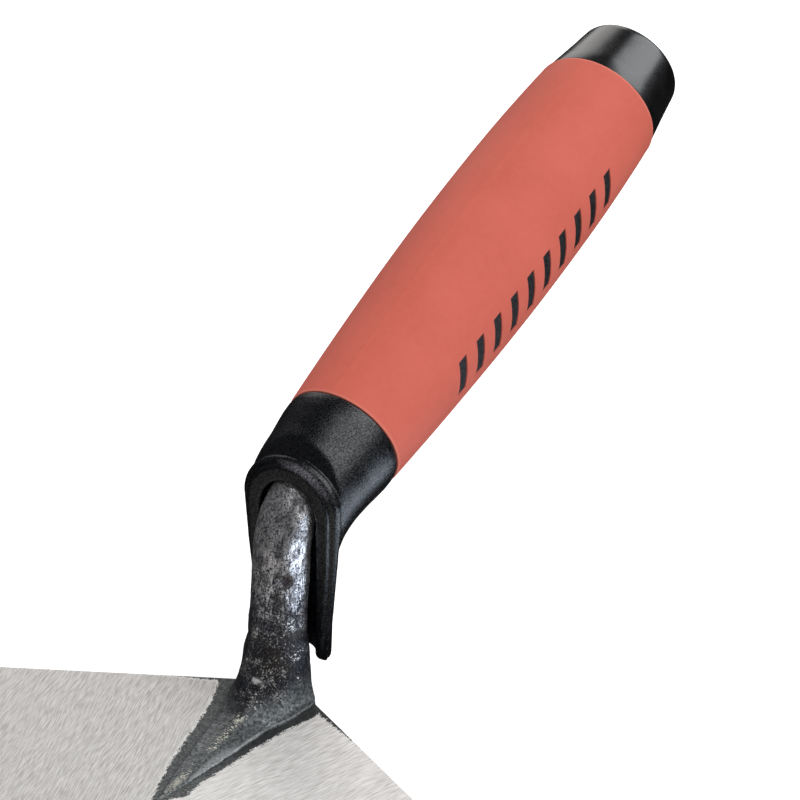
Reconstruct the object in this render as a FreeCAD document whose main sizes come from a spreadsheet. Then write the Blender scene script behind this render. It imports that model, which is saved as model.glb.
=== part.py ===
"""Brick trowel: a forged blade, shank and tang in a two-shot moulded handle.

The trowel lies on its blade: +Z up, the handle towards +X, the tip towards -X, and the X-Z plane
through its middle. The origin is on the ground, under the centre of the trowel's box. Millimetres.
"""
import FreeCAD, Part
import math
import os

import Sketcher

App = FreeCAD
Vector = App.Vector
doc = App.newDocument("BrickTrowel")

# lengths that only have to reach clear of what they cut
CUTTER = 200
MOUTH_CUTTER = 40
BAR_CUTTER = 20

# ---------------------------------------------------------------- driving dimensions
DIMENSIONS = {
    # blade, from the point where its two heel edges would meet
    "heel_x": 61.5,               # that point, along X from the origin
    "blade_length": 286.4,        # to the tip, before it is rounded
    "heel_half_angle": 62.9,
    "shoulder_half_width": 73.0,  # at the sharp shoulder, before it is rounded
    "shoulder_radius": 18.0,
    "side_radius": 1900.0,        # of the long convex sides
    "tip_radius": 4.0,
    "heel_thickness": 2.2,
    "tip_thickness": 1.2,
    # bolster, the forged step that carries the shank
    "bolster_half_width": 9.6,
    "bolster_waist": 6.4,
    "bolster_length": 56.0,
    "bolster_height": 3.5,
    # shank and tang
    "shank_diameter": 13.2,
    "shank_setback": 7.8,         # its axis at the ground, ahead of the heel point
    "shank_lean": 7.0,
    "bend_radius": 12.0,
    "shank_entry": 12.0,          # end of the full diameter, ahead of the grip's front edge
    "flare_height": 16.0,
    "flare_reach": 27.0,          # towards the tip, from the shank's axis
    "flare_half_width": 9.4,
    "flare_back": 1.4,
    "tang_length": 96.0,
    "tang_overlap": 4.0,          # of the tang's root, inside the end of the shank
    "tang_root_diameter": 12.4,
    "tang_tip_diameter": 7.5,
    # handle, from the centre of the grip's front edge
    "handle_setback": 22.0,
    "handle_rise": 55.2,
    "handle_tilt": 19.64,
    "grip_length": 120.0,
    "grip_front_radius": 14.5,
    "grip_side_radius": 980.0,    # of the long convex curve of its side
    "grip_shoulder_at": 115.0,
    "grip_shoulder_radius": 16.5,
    "grip_shoulder_rounding": 30.0,
    "grip_rear_radius": 16.0,
    "grip_bore_radius": 12.0,
    # end cap
    "cap_length": 17.6,
    "cap_front_radius": 15.9,
    "cap_rear_radius": 13.4,
    "cap_rounding": 1.2,
    "cap_wall": 2.4,
    # finger guard, part of the handle's core
    "guard_face_setback": 1.0,    # its flat front, ahead of the heel point
    "guard_foot_height": 11.0,
    "guard_rim_rounding": 1.6,
    "guard_bend_radius": 23.5,
    "guard_blank_length": 62.0,   # along its curved centre line
    "collar_root_radius": 14.4,
    "collar_radius": 13.3,
    "collar_taper": 13.0,         # length over which the collar narrows
    "bend_outer_radius": 12.3,
    "bend_at": 24.0,              # along the guard's curved centre line
    "tongue_radius": 10.8,
    "tongue_setback": 4.5,
    "channel_radius": 8.0,
    "channel_setback": 3.9,
    "channel_height": 46.2,       # of the channel's top, from the ground
    "socket_mouth_radius": 7.6,
    "socket_mouth_depth": 8.0,    # ahead of the grip's front edge
    # the row of plain slanted bars where the core shows through the grip
    "bar_count": 10,
    "bar_first_at": 25.6,
    "bar_pitch": 7.5,
    "bar_width": 3.0,
    "bar_height": 8.4,
    "bar_slant": 20.0,
    "bar_recess": 0.25,
}

sheet = doc.addObject("Spreadsheet::Sheet", "Dimensions")
for row, (alias, number) in enumerate(DIMENSIONS.items(), start=1):
    sheet.set(f"A{row}", alias)
    sheet.set(f"B{row}", str(number))
    sheet.setAlias(f"B{row}", alias)
doc.recompute()


def size(alias):
    """A driving dimension, read back from the sheet."""
    return float(sheet.get(alias))


# ---------------------------------------------------------------- helpers
ORIGIN, H_AXIS, V_AXIS = (-1, 1), -1, -2     # Sketcher's numbers for its origin and axes


def evaluate(expression):
    """The number that an expression on the sheet stands for."""
    return float(sheet.evalExpression(expression))


def bind(thing, **expressions):
    """Bind properties to the sheet; a double underscore stands for a dot in a property's path."""
    for path, expression in expressions.items():
        thing.setExpression(path.replace("__", "."), expression)


def primitive(kind, name, placement=None, **expressions):
    """A Part primitive with its sizes bound to the sheet."""
    thing = doc.addObject(kind, name)
    bind(thing, **expressions)
    if placement is not None:
        thing.Placement = placement
    return thing


def boolean(kind, name, *inputs):
    """A Part boolean of whole objects: a cut takes a base and a tool, the others a list."""
    thing = doc.addObject(kind, name)
    if kind == "Part::Cut":
        thing.Base, thing.Tool = inputs
    else:
        thing.Shapes = list(inputs)
    thing.Refine = True
    return thing


def new_sketch(body, plane, name):
    """A sketch on one of the body's own origin planes."""
    sketch = body.newObject("Sketcher::SketchObject", name)
    base = [item for item in body.Origin.OriginFeatures if item.Role == plane][0]
    sketch.AttachmentSupport = [(base, "")]
    sketch.MapMode = "FlatFace"
    return sketch


def drive(sketch, name, expression, *constraint):
    """Add a dimension to a sketch and bind it to the sheet."""
    index = sketch.addConstraint(Sketcher.Constraint(*constraint, evaluate(expression)))
    sketch.renameConstraint(index, name)
    sketch.setExpression(f"Constraints.{name}", expression)


def place_point(sketch, name, point, along, up):
    """Fix a sketch point (geometry, end) at two driven distances from the sketch's origin."""
    for suffix, kind, axis, expression in (
        ("along", "DistanceX", V_AXIS, along),
        ("up", "DistanceY", H_AXIS, up),
    ):
        if expression == "0":
            sketch.addConstraint(Sketcher.Constraint("PointOnObject", *point, axis))
        else:
            drive(sketch, f"{name}_{suffix}", expression, kind, *ORIGIN, *point)


def outward_arc(start, end, radius):
    """The arc from start to end that bulges to the right of the way from one to the other."""
    chord = end - start
    sagitta = radius - math.sqrt(radius**2 - chord.Length**2 / 4)
    right = Vector(chord.y, -chord.x, 0).normalize()
    return Part.Arc(start, (start + end) / 2 + right * sagitta, end)


def outline(sketch, corners):
    """A closed anticlockwise outline of (name, along, up, radius) corners.

    Each is an expression on the sheet. The edge that leaves a corner is straight, or an arc that
    bulges outwards where a radius is given.
    """
    points = [Vector(evaluate(along), evaluate(up), 0) for _, along, up, _ in corners]
    for i, (_, _, _, radius) in enumerate(corners):
        start, end = points[i], points[(i + 1) % len(points)]
        if radius:
            sketch.addGeometry(outward_arc(start, end, evaluate(radius)))
        else:
            sketch.addGeometry(Part.LineSegment(start, end))
    for i in range(len(corners)):
        following = (i + 1) % len(corners)
        sketch.addConstraint(Sketcher.Constraint("Coincident", i, 2, following, 1))
    for i, (name, along, up, radius) in enumerate(corners):
        place_point(sketch, name, (i, 1), along, up)
        if radius:
            drive(sketch, f"{name}_radius", radius, "Radius", i)


def edges_where(shape, test):
    """The names of the edges whose two ends pass a test."""
    return [
        f"Edge{i}"
        for i, edge in enumerate(shape.Edges, start=1)
        if len(edge.Vertexes) == 2 and all(test(vertex.Point) for vertex in edge.Vertexes)
    ]


def pad(body, sketch, name, length):
    feature = body.newObject("PartDesign::Pad", name)
    feature.Profile = sketch
    bind(feature, Length=length)
    return feature


def cut_through(body, sketch, name):
    """A pocket through the whole body, both ways from the sketch's plane."""
    feature = body.newObject("PartDesign::Pocket", name)
    feature.Profile = sketch
    feature.Type = "ThroughAll"
    feature.Midplane = True
    return feature


def revolve(body, sketch, name):
    """A full turn of a profile about the body's X axis."""
    feature = body.newObject("PartDesign::Revolution", name)
    feature.Profile = sketch
    feature.ReferenceAxis = (sketch, ["H_Axis"])
    feature.Angle = 360
    return feature


def fillet(body, base, name, edges, radius):
    feature = body.newObject("PartDesign::Fillet", name)
    feature.Base = (base, edges)
    bind(feature, Radius=radius)
    return feature


# ---------------------------------------------------------------- where the handle is
HANDLE_X = "Dimensions.heel_x + Dimensions.handle_setback"
TILT = math.radians(size("handle_tilt"))
HANDLE_AXIS = Vector(math.cos(TILT), 0, math.sin(TILT))
GRIP_FRONT = Vector(size("heel_x") + size("handle_setback"), 0, size("handle_rise"))


def place_on_handle(thing):
    """Put a piece that is modelled along X where the handle is."""
    tilt = App.Rotation(Vector(0, -1, 0), size("handle_tilt"))
    thing.Placement = App.Placement(GRIP_FRONT, tilt)
    bind(
        thing,
        Placement__Base__x=HANDLE_X,
        Placement__Base__z="Dimensions.handle_rise",
        Placement__Rotation__Angle="Dimensions.handle_tilt",
    )


def on_handle(distance):
    """A placement on the handle's axis, that far behind the grip's front edge, with Z along it."""
    turn = App.Rotation(Vector(0, 0, 1), HANDLE_AXIS)
    return App.Placement(GRIP_FRONT + HANDLE_AXIS * distance, turn)


# ---------------------------------------------------------------- blade, shank and tang
def make_blade():
    """The flat blade, ground thinner towards its tip, and the bolster forged on its heel."""
    body = doc.addObject("PartDesign::Body", "blade")
    bind(body, Placement__Base__x="Dimensions.heel_x")

    half_width = "Dimensions.shoulder_half_width"
    shoulder = f"-{half_width} / tan(Dimensions.heel_half_angle)"
    plan = new_sketch(body, "XY_Plane", "blade_plan")
    outline(plan, [
        ("heel", "0", "0", None),
        ("left", shoulder, half_width, "Dimensions.side_radius"),
        ("tip", "-Dimensions.blade_length", "0", "Dimensions.side_radius"),
        ("right", shoulder, f"-{half_width}", None),
    ])
    plate = pad(body, plan, "plate", "Dimensions.heel_thickness")
    doc.recompute()

    shoulders = edges_where(plate.Shape, lambda p: abs(abs(p.y) - size("shoulder_half_width")) < 1)
    rounded = fillet(body, plate, "rounded_shoulders", shoulders, "Dimensions.shoulder_radius")
    doc.recompute()
    tip = edges_where(rounded.Shape, lambda p: p.x < 1 - size("blade_length"))
    fillet(body, rounded, "rounded_tip", tip, "Dimensions.tip_radius")

    taper = new_sketch(body, "XZ_Plane", "taper_profile")
    outline(taper, [
        ("tip_top", "-Dimensions.blade_length", "Dimensions.tip_thickness", None),
        ("heel_top", "0", "Dimensions.heel_thickness", None),
        ("above", "-Dimensions.blade_length", "2 * Dimensions.heel_thickness", None),
    ])
    cut_through(body, taper, "taper")
    doc.recompute()

    width = "Dimensions.bolster_half_width"
    corner = f"-{width} / tan(Dimensions.heel_half_angle)"
    waist = "-0.45 * Dimensions.bolster_length"
    bolster_plan = new_sketch(body, "XY_Plane", "bolster_plan")
    outline(bolster_plan, [
        ("heel", "0", "0", None),
        ("left", corner, width, None),
        ("left_waist", waist, "Dimensions.bolster_waist", None),
        ("nose", "-Dimensions.bolster_length", "0", None),
        ("right_waist", waist, "-Dimensions.bolster_waist", None),
        ("right", corner, f"-{width}", None),
    ])
    pad(body, bolster_plan, "bolster", "Dimensions.bolster_height")
    slope = new_sketch(body, "XZ_Plane", "bolster_slope")
    outline(slope, [
        ("nose", "-Dimensions.bolster_length", "0.9 * Dimensions.heel_thickness", None),
        ("heel_top", "0", "Dimensions.bolster_height", None),
        ("above", "-Dimensions.bolster_length", "2 * Dimensions.bolster_height", None),
    ])
    cut_through(body, slope, "bolster_fall")
    return body


def make_shank():
    """The round shank, swept up from the blade and bent back into line with the handle."""
    body = doc.addObject("PartDesign::Body", "shank")
    bind(body, Placement__Base__x="Dimensions.heel_x")
    lean = math.radians(size("shank_lean"))
    rising = Vector(math.sin(lean), math.cos(lean), 0)
    along = Vector(math.cos(TILT), math.sin(TILT), 0)
    foot = Vector(-size("shank_setback"), 0, 0)
    entry = "Dimensions.shank_entry"
    end_along = f"Dimensions.handle_setback - {entry} * cos(Dimensions.handle_tilt)"
    end_up = f"Dimensions.handle_rise - {entry} * sin(Dimensions.handle_tilt)"
    end = Vector(evaluate(end_along), evaluate(end_up), 0)
    # the two straight lines meet where foot + a * rising = end - b * along
    gap = end - foot
    reach = (gap.x * along.y - gap.y * along.x) / (rising.x * along.y - rising.y * along.x)
    corner = foot + rising * reach
    radius = size("bend_radius")
    turn = rising.getAngle(along)
    bend_start = corner - rising * radius * math.tan(turn / 2)
    bend_end = corner + along * radius * math.tan(turn / 2)
    towards_centre = (along - rising).normalize()
    middle = corner + towards_centre * radius * (1 / math.cos(turn / 2) - 1)

    path = new_sketch(body, "XZ_Plane", "shank_path")
    path.addGeometry(Part.LineSegment(foot, bend_start))
    path.addGeometry(Part.Arc(bend_end, middle, bend_start))
    path.addGeometry(Part.LineSegment(bend_end, end))
    path.addConstraint(Sketcher.Constraint("Tangent", 0, 2, 1, 2))
    path.addConstraint(Sketcher.Constraint("Tangent", 1, 1, 2, 1))
    place_point(path, "foot", (0, 1), "-Dimensions.shank_setback", "0")
    place_point(path, "end", (2, 2), end_along, end_up)
    drive(path, "bend", "Dimensions.bend_radius", "Radius", 1)
    path.addConstraint(Sketcher.Constraint("Angle", 0, math.pi / 2 - lean))
    path.renameConstraint(path.ConstraintCount - 1, "lean")
    path.setExpression("Constraints.lean", "(90 - Dimensions.shank_lean) * 1 deg")
    path.addConstraint(Sketcher.Constraint("Angle", 2, TILT))
    path.renameConstraint(path.ConstraintCount - 1, "tilt")
    path.setExpression("Constraints.tilt", "Dimensions.handle_tilt * 1 deg")

    section = new_sketch(body, "XY_Plane", "shank_section")
    section.addGeometry(Part.Circle(foot, Vector(0, 0, 1), size("shank_diameter") / 2))
    place_point(section, "centre", (0, 3), "-Dimensions.shank_setback", "0")
    drive(section, "width", "Dimensions.shank_diameter", "Diameter", 0)
    sweep = body.newObject("PartDesign::AdditivePipe", "shank_sweep")
    sweep.Profile = section
    sweep.Spine = path
    return body


def make_flare():
    """The forged flare that spreads the shank's foot forward over the bolster.

    Its first section lies just inside the shank, so that the two surfaces cross cleanly.
    """
    radius, height = size("shank_diameter") / 2, size("flare_height")
    shank_foot_x = size("heel_x") - size("shank_setback")
    sections = []
    for i, spread in enumerate((0.0, 0.3, 0.55, 0.75, 0.9, 1.0)):
        inside = 0.6 if spread == 0 else 0
        level = height * (1 - spread)
        axis_x = shank_foot_x + level * math.tan(math.radians(size("shank_lean")))
        front = radius - inside + (size("flare_reach") - radius) * spread**2.5
        back = radius - inside + size("flare_back") * spread**0.7
        section = doc.addObject("Part::Ellipse", f"flare_section_{i}")
        section.MajorRadius = (front + back) / 2 + 0.001
        section.MinorRadius = radius - inside + (size("flare_half_width") - radius) * spread**1.4
        section.Placement.Base = Vector(axis_x + (back - front) / 2, 0, level)
        sections.append(section)
    flare = doc.addObject("Part::Loft", "flare")
    flare.Sections = sections
    flare.Solid = True
    return flare


def make_tang():
    """The tapered tang that fills its socket in the handle's core."""
    return primitive(
        "Part::Cone",
        "tang",
        on_handle(-size("shank_entry") - size("tang_overlap")),
        Radius1="Dimensions.tang_root_diameter / 2",
        Radius2="Dimensions.tang_tip_diameter / 2",
        Height="Dimensions.tang_length",
    )


# ---------------------------------------------------------------- the handle
def make_core_bar():
    """The core inside the grip, with a stub behind it that carries the end cap."""
    body = doc.addObject("PartDesign::Body", "core_bar")
    place_on_handle(body)
    bore = "Dimensions.grip_bore_radius"
    stub = "(Dimensions.cap_rear_radius - Dimensions.cap_wall)"
    end = "(Dimensions.grip_length + Dimensions.cap_length - Dimensions.cap_wall)"
    profile = new_sketch(body, "XZ_Plane", "core_profile")
    outline(profile, [
        ("front", "-Dimensions.socket_mouth_depth", "0", None),
        ("end", end, "0", None),
        ("end_edge", end, stub, None),
        ("stub_root", "Dimensions.grip_length", stub, None),
        ("bar_rear", "Dimensions.grip_length", bore, None),
        ("bar_front", "-Dimensions.socket_mouth_depth", bore, None),
    ])
    revolve(body, profile, "core_turned")
    return body


def guard_station(distance):
    """The centre line of the finger guard, that far from the grip's front edge.

    It follows the handle's axis forward, bends down and ends upright, behind the shank. Returns a
    point on it and its direction.
    """
    forward, down = -HANDLE_AXIS, Vector(0, 0, -1)
    bend = size("guard_bend_radius")
    turn = forward.getAngle(down)
    upright_x = size("heel_x") - size("tongue_setback")
    to_corner = (GRIP_FRONT.x - upright_x) / HANDLE_AXIS.x
    straight = to_corner - bend * math.tan(turn / 2)
    if distance <= straight:
        return GRIP_FRONT + forward * distance, forward
    start = GRIP_FRONT + forward * straight
    centre = start + Vector(HANDLE_AXIS.z, 0, -HANDLE_AXIS.x) * bend
    angle = min((distance - straight) / bend, turn)
    spin = App.Rotation(forward.cross(down), math.degrees(angle))
    beyond = max(distance - straight - bend * turn, 0)
    return centre + spin.multVec(start - centre) + down * beyond, spin.multVec(forward)


def guard_radius(distance, length):
    """The guard's outer radius, narrowing from the collar to the foot of the tongue."""
    stations = [
        (0.0, size("collar_root_radius")),
        (size("collar_taper"), size("collar_radius")),
        (size("bend_at"), size("bend_outer_radius")),
        (length, size("tongue_radius")),
    ]
    for (start, wide), (end, narrow) in zip(stations, stations[1:]):
        if distance <= end:
            return wide + (narrow - wide) * (distance - start) / (end - start)
    return size("tongue_radius")


def make_guard_blank():
    """The outer shape of the collar and finger guard, before its front and foot are cut."""
    sections = []
    length, count = size("guard_blank_length"), 12
    for i in range(count + 1):
        distance = length * i / count
        point, direction = guard_station(distance)
        section = doc.addObject("Part::Circle", f"guard_section_{i}")
        section.Radius = guard_radius(distance, length)
        section.Placement = App.Placement(point, App.Rotation(Vector(0, 0, 1), direction))
        sections.append(section)
    guard = doc.addObject("Part::Loft", "guard_blank")
    guard.Sections = sections
    guard.Solid = True
    return guard


def guard_rim_edges(shape):
    """The numbers of the outer edges of the guard's flat front."""
    face_x = size("heel_x") - size("guard_face_setback")
    rim = []
    for i, edge in enumerate(shape.Edges, start=1):
        in_face = max(abs(edge.BoundBox.XMin - face_x), abs(edge.BoundBox.XMax - face_x)) < 0.01
        if in_face and isinstance(edge.Curve, Part.BSplineCurve):
            rim.append(i)
    return rim


def make_core(bars):
    """The hard core: bar, collar and finger guard in one moulding, hollowed for shank and tang."""
    blank = boolean("Part::MultiFuse", "core_blank", make_core_bar(), make_guard_blank())
    front = primitive(
        "Part::Box",
        "ahead_of_guard",
        App.Placement(Vector(-CUTTER, -CUTTER / 2, -CUTTER / 2), App.Rotation()),
        Placement__Base__x=f"Dimensions.heel_x - Dimensions.guard_face_setback - {CUTTER}",
    )
    below = primitive(
        "Part::Box",
        "below_guard",
        App.Placement(Vector(-CUTTER / 2, -CUTTER / 2, -CUTTER), App.Rotation()),
        Placement__Base__z=f"Dimensions.guard_foot_height - {CUTTER}",
    )
    for block in (front, below):
        block.Length = block.Width = block.Height = CUTTER
    channel = primitive(
        "Part::Cylinder",
        "shank_channel",
        Radius="Dimensions.channel_radius",
        Height="Dimensions.channel_height",
        Placement__Base__x="Dimensions.heel_x - Dimensions.channel_setback",
    )
    mouth = primitive(
        "Part::Cylinder",
        "socket_mouth",
        on_handle(-MOUTH_CUTTER - size("socket_mouth_depth")),
        Radius="Dimensions.socket_mouth_radius",
        Height=str(MOUTH_CUTTER),
    )
    socket = primitive(
        "Part::Cone",
        "tang_socket",
        on_handle(-size("shank_entry") - size("tang_overlap")),
        Radius1="Dimensions.tang_root_diameter / 2",
        Radius2="Dimensions.tang_tip_diameter / 2",
        Height="Dimensions.tang_length",
    )
    voids = boolean("Part::MultiFuse", "core_voids", front, below, channel, mouth, socket)
    hollow = boolean("Part::Cut", "core_hollowed", blank, voids)
    doc.recompute()
    rounding = size("guard_rim_rounding")
    rounded = doc.addObject("Part::Fillet", "core_rounded")
    rounded.Base = hollow
    rounded.Edges = [(i, rounding, rounding) for i in guard_rim_edges(hollow.Shape)]
    return boolean("Part::MultiFuse", "handle_core", rounded, bars)


def grip_corners(inset):
    """The grip's outline along X, its outer surface drawn in by an inset."""
    bore = "Dimensions.grip_bore_radius"
    end = "Dimensions.grip_length"
    return [
        ("bore_front", "0", bore, None),
        ("bore_rear", end, bore, None),
        (
            "rear",
            end,
            f"(Dimensions.grip_rear_radius - {inset})",
            "Dimensions.grip_shoulder_rounding",
        ),
        (
            "shoulder",
            "Dimensions.grip_shoulder_at",
            f"(Dimensions.grip_shoulder_radius - {inset})",
            "Dimensions.grip_side_radius",
        ),
        ("front", "0", f"(Dimensions.grip_front_radius - {inset})", None),
    ]


def make_bars():
    """A row of slanted bars, from inside the core's bar to beyond the grip's surface."""
    body = doc.addObject("PartDesign::Body", "bar_row")
    place_on_handle(body)
    sketch = new_sketch(body, "XZ_Plane", "bar_outline")
    height, width, first = (f"Dimensions.bar_{word}" for word in ("height", "width", "first_at"))
    lean = f"{height} / 2 * tan(Dimensions.bar_slant)"
    outline(sketch, [
        ("low_front", f"{first} - {lean}", f"-{height} / 2", None),
        ("low_rear", f"{first} - {lean} + {width}", f"-{height} / 2", None),
        ("high_rear", f"{first} + {lean} + {width}", f"{height} / 2", None),
        ("high_front", f"{first} + {lean}", f"{height} / 2", None),
    ])
    bar = pad(body, sketch, "bar", str(BAR_CUTTER))
    row = body.newObject("PartDesign::LinearPattern", "bars")
    row.Originals = [bar]
    row.Direction = (sketch, ["H_Axis"])
    bind(
        row,
        Length="Dimensions.bar_pitch * (Dimensions.bar_count - 1)",
        Occurrences="Dimensions.bar_count",
    )
    body.Tip = row
    return body


def make_core_bars(bars):
    """The bars that the core carries, cut off just under the grip's surface."""
    envelope = doc.addObject("PartDesign::Body", "bar_envelope")
    place_on_handle(envelope)
    profile = new_sketch(envelope, "XZ_Plane", "envelope_profile")
    corners = grip_corners("Dimensions.bar_recess")
    inner = "0.9 * Dimensions.grip_bore_radius"
    corners[0] = ("bore_front", "0", inner, None)
    corners[1] = ("bore_rear", "Dimensions.grip_length", inner, None)
    outline(profile, corners)
    revolve(envelope, profile, "envelope_turned")
    return boolean("Part::MultiCommon", "core_bars", envelope, bars)


def make_grip(bars):
    """The soft grip, moulded over the core, with a window round each bar."""
    body = doc.addObject("PartDesign::Body", "grip_sleeve")
    place_on_handle(body)
    profile = new_sketch(body, "XZ_Plane", "grip_profile")
    outline(profile, grip_corners("0"))
    revolve(body, profile, "grip_turned")
    return boolean("Part::Cut", "soft_grip", body, bars)


def make_cap():
    """The hard end cap, a cup pressed over the core's stub."""
    body = doc.addObject("PartDesign::Body", "butt_cap")
    place_on_handle(body)
    front = "Dimensions.grip_length"
    end = "(Dimensions.grip_length + Dimensions.cap_length)"
    floor = "(Dimensions.grip_length + Dimensions.cap_length - Dimensions.cap_wall)"
    bore = "(Dimensions.cap_rear_radius - Dimensions.cap_wall)"
    profile = new_sketch(body, "XZ_Plane", "cap_profile")
    outline(profile, [
        ("mouth", front, bore, None),
        ("floor_edge", floor, bore, None),
        ("floor", floor, "0", None),
        ("end", end, "0", None),
        ("end_edge", end, "Dimensions.cap_rear_radius", None),
        ("rim", front, "Dimensions.cap_front_radius", None),
    ])
    turned = revolve(body, profile, "cap_turned")
    doc.recompute()
    rear = [
        f"Edge{i}"
        for i, edge in enumerate(turned.Shape.Edges, start=1)
        if isinstance(edge.Curve, Part.Circle)
        and abs(edge.Curve.Radius - size("cap_rear_radius")) < 0.01
    ]
    fillet(body, turned, "cap_rounded", rear, "Dimensions.cap_rounding")
    return body


# ---------------------------------------------------------------- build and write
bars = make_bars()
blade_forging = boolean(
    "Part::MultiFuse", "blade_forging", make_blade(), make_shank(), make_flare(), make_tang()
)
nodes = [blade_forging, make_core(make_core_bars(bars)), make_grip(bars), make_cap()]
doc.recompute()

for thing in doc.Objects:
    if "Invalid" in thing.State or "Error" in thing.State:
        raise RuntimeError(f"{thing.Label} failed: {thing.State}")
for node in nodes:
    if node.Shape.isNull() or not node.Shape.isValid():
        raise RuntimeError(f"{node.Label} is not a valid solid")

os.makedirs("parts", exist_ok=True)
for node in nodes:
    node.Shape.exportStep(f"parts/{node.Label}.step")
    box = node.Shape.optimalBoundingBox()
    print(
        f"{node.Label}: {len(node.Shape.Solids)} solid, {node.Shape.Volume:.0f} mm3,"
        f" x {box.XMin:.1f} to {box.XMax:.1f}, y {box.YMin:.1f} to {box.YMax:.1f},"
        f" z {box.ZMin:.1f} to {box.ZMax:.1f}"
    )
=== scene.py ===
"""The looks of the brick trowel: plate, forging, guard, grip and cap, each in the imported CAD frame."""

import math

import bmesh
import bpy
import numpy as np
from mathutils import Matrix, Vector, noise


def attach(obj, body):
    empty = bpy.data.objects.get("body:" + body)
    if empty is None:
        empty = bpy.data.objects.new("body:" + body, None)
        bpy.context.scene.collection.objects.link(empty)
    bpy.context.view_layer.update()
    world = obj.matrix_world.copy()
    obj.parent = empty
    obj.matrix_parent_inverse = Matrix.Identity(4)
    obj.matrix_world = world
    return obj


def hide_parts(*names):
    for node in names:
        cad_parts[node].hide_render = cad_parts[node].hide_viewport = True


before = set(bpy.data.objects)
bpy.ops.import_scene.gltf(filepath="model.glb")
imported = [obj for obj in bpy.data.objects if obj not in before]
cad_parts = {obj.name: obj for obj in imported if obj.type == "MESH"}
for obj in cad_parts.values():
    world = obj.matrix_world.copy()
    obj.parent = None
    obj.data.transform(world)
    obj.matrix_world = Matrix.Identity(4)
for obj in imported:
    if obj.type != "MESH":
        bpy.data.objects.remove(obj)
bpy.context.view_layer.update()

MM = 0.001

# ---------- the object's own dimensions, in mm
HEEL_X = 61.5  # the blade's heel, along X from the row's origin
HEEL_HALF_ANGLE = math.radians(62.9)
BLADE_LENGTH = 286.4
SHOULDER_HALF_WIDTH = 73.0
SHOULDER_RADIUS = 18.0
SIDE_RADIUS = 1900.0
TIP_RADIUS = 4.0
HEEL_THICKNESS, TIP_THICKNESS = 2.2, 1.2
EDGE_TOUCH = 0.42  # how far the rounded edge's widest line is from the plate's faces

SHANK_RADIUS = 6.5
SHANK_SETBACK = 7.8
SHANK_LEAN = math.radians(7)
BEND_RADIUS = 12.0
SHANK_ENTRY = 12.0  # the shank meets the handle's line this far before the grip
STEP_Z, STEP_RISE = 23.0, 0.16  # the shank is a little thicker below a faint step
FLARE_HEIGHT = 16.0
FLARE_FRONT, FLARE_BACK, FLARE_SIDE = 10.5, 1.5, 2.9  # how far the foot spreads past the shank
BOLSTER_DRIFT = 0.044  # the bolster's line leaves the blade's own by about 2.5 degrees
BOLSTER_START = -5.0
DENT = (-8.42, -4.35, 34.15)  # a small dent half-way up the shank
BRIGHT_SPOT = (-14.87, -0.26, 12.43)  # a bright spot above the wedge

TILT = math.radians(19.64)
FRONT_X, FRONT_Z = 22.0, 55.2  # the grip's front on the handle's axis, from the heel
GRIP_FRONT = np.array([FRONT_X, 0.0, FRONT_Z])
GRIP_LENGTH = 120.0
SLEEVE_BORE = 12.6
ALONG = np.array([math.cos(TILT), 0.0, math.sin(TILT)])
ABOVE = np.array([-math.sin(TILT), 0.0, math.cos(TILT)])


# ---------- meshes
REACH = 0.05  # mm each way, to measure how a field changes
NET_STEP = 0.4  # mm


def new_piece(name, vertices, faces, sharp, joined=True):
    """A closed mesh, its vertices given in mm from the heel and put in the row frame.

    It is smooth, but for edges where two faces meet at more than the sharp angle, in degrees.
    Joined, its doubled points become one and every face is turned outward.
    """
    mesh = bpy.data.meshes.new(name)
    points = (np.asarray(vertices, dtype=float) + np.array([HEEL_X, 0.0, 0.0])) * MM
    mesh.from_pydata(points.tolist(), [], [tuple(int(i) for i in face) for face in faces])
    mesh.validate()
    mesh.update()
    piece = bpy.data.objects.new(name, mesh)
    bpy.context.scene.collection.objects.link(piece)
    if joined:
        work = bmesh.new()
        work.from_mesh(mesh)
        bmesh.ops.remove_doubles(work, verts=work.verts, dist=1e-6)
        bmesh.ops.recalc_face_normals(work, faces=work.faces)
        work.to_mesh(mesh)
        work.free()
    for polygon in mesh.polygons:
        polygon.use_smooth = True
    mesh.set_sharp_from_angle(angle=math.radians(sharp))
    return piece


def soft_min(a, b, width):
    """The smaller of two distances, blended where they are within a width of each other."""
    near = np.maximum(width - np.abs(a - b), 0.0) / width
    return np.minimum(a, b) - near * near * width / 4


def soft_max(a, b, width):
    """The larger of two distances, blended in the same way."""
    return -soft_min(-a, -b, width)


def change_of(field, points):
    """How a field changes from REACH before each point to REACH past it, along each axis."""
    x, y, z = points.T
    return np.stack([
        field(x + REACH, y, z) - field(x - REACH, y, z),
        field(x, y + REACH, z) - field(x, y - REACH, z),
        field(x, y, z + REACH) - field(x, y, z - REACH),
    ], axis=1)


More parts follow.
